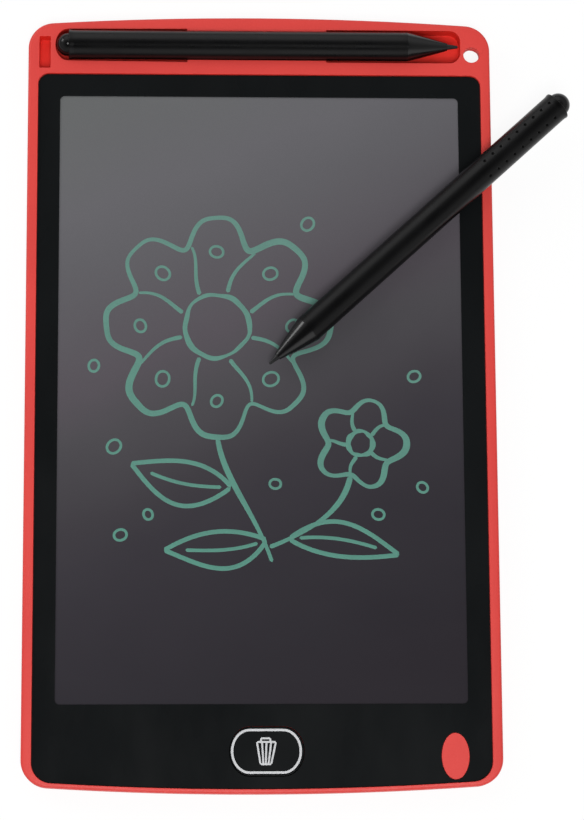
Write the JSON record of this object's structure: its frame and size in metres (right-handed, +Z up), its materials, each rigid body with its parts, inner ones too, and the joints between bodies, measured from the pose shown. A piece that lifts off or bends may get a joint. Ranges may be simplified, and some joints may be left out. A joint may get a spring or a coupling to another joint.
{
  "type": "lcd writing tablet",
  "caption": "Slim red writing tablet with a grey liquid crystal screen in a black border, an erase button, a stylus groove with a stowed stylus, and another stylus lying on the screen",
  "frame": {"origin": "middle of the flat back face, on the surface that the tablet lies on", "axes": "+Z up out of the screen, +Y along the tablet's length towards the stylus groove, +X to the right as the screen is read"},
  "size_m": [0.1613, 0.2312, 0.0156],
  "materials": {
    "red_plastic": "moulded ABS, fine satin texture",
    "black_plastic": "satin moulded plastic",
    "black_film": "black printed polyester film, soft gloss",
    "screen_film": "grey liquid crystal film, soft gloss",
    "dark_sheet": "black light-absorbing sheet and foam",
    "tape": "double-sided tape",
    "nib_plastic": "grey acetal",
    "board_green": "glass-epoxy board with solder mask",
    "chip_black": "moulded epoxy",
    "ceramic_tan": "sintered ceramic with tinned ends",
    "amber_flex": "polyimide flex strip",
    "spring_steel": "nickel plated spring strip",
    "nickel_steel": "nickel plated steel"
  },
  "bodies": {
    "tablet": {"rear_cover": "red_plastic", "front_frame": "red_plastic", "bezel_overlay": "black_film", "lcd_film": "screen_film", "backing_sheet": "dark_sheet", "mounting_tape": "tape", "film_tail": "amber_flex", "switch_body": "nickel_steel", "circuit_board": "board_green", "control_chip": "chip_black", "boost_inductor": "chip_black", "boost_diode": "chip_black", "storage_capacitor": "ceramic_tan", "filter_capacitor": "ceramic_tan", "sense_resistor": "chip_black", "load_resistor": "chip_black", "lock_switch_body": "nickel_steel", "negative_contact": "spring_steel", "positive_contact": "spring_steel"},
    "erase_key": {"erase_button": "black_plastic", "switch_plunger": "black_plastic"},
    "lock_key": {"lock_slider": "black_plastic", "lock_lever": "black_plastic"},
    "battery_cover": {"battery_door": "red_plastic", "cell_pad": "dark_sheet", "coin_cell": "nickel_steel", "door_screw_1": "nickel_steel", "door_screw_2": "nickel_steel"},
    "stowed_stylus": {"stowed_barrel": "black_plastic", "stowed_nib": "nib_plastic", "stowed_tail_cap": "black_plastic"},
    "loose_stylus": {"loose_barrel": "black_plastic", "loose_nib": "nib_plastic", "loose_tail_cap": "black_plastic"}
  },
  "joints": [
    {"name": "erase_press", "type": "slide", "parent": "tablet", "child": "erase_key", "axis": [0, 0, -1], "range_m": [0, 0.0003], "stiffness_N_per_m": 800, "springref_m": -0.0003},
    {"name": "lock_slide", "type": "slide", "parent": "tablet", "child": "lock_key", "axis": [1, 0, 0], "range_m": [0, 0.002]},
    {"name": "door_lift", "type": "slide", "parent": "tablet", "child": "battery_cover", "axis": [0, 0, -1], "range_m": [0, 0.008]},
    {"name": "stowed_lift", "type": "slide", "parent": "tablet", "child": "stowed_stylus", "axis": [0, 0, 1], "range_m": [0, 0.025]},
    {"name": "loose_lift", "type": "slide", "parent": "tablet", "child": "loose_stylus", "axis": [0, 0, 1], "range_m": [0, 0.04]}
  ]
}
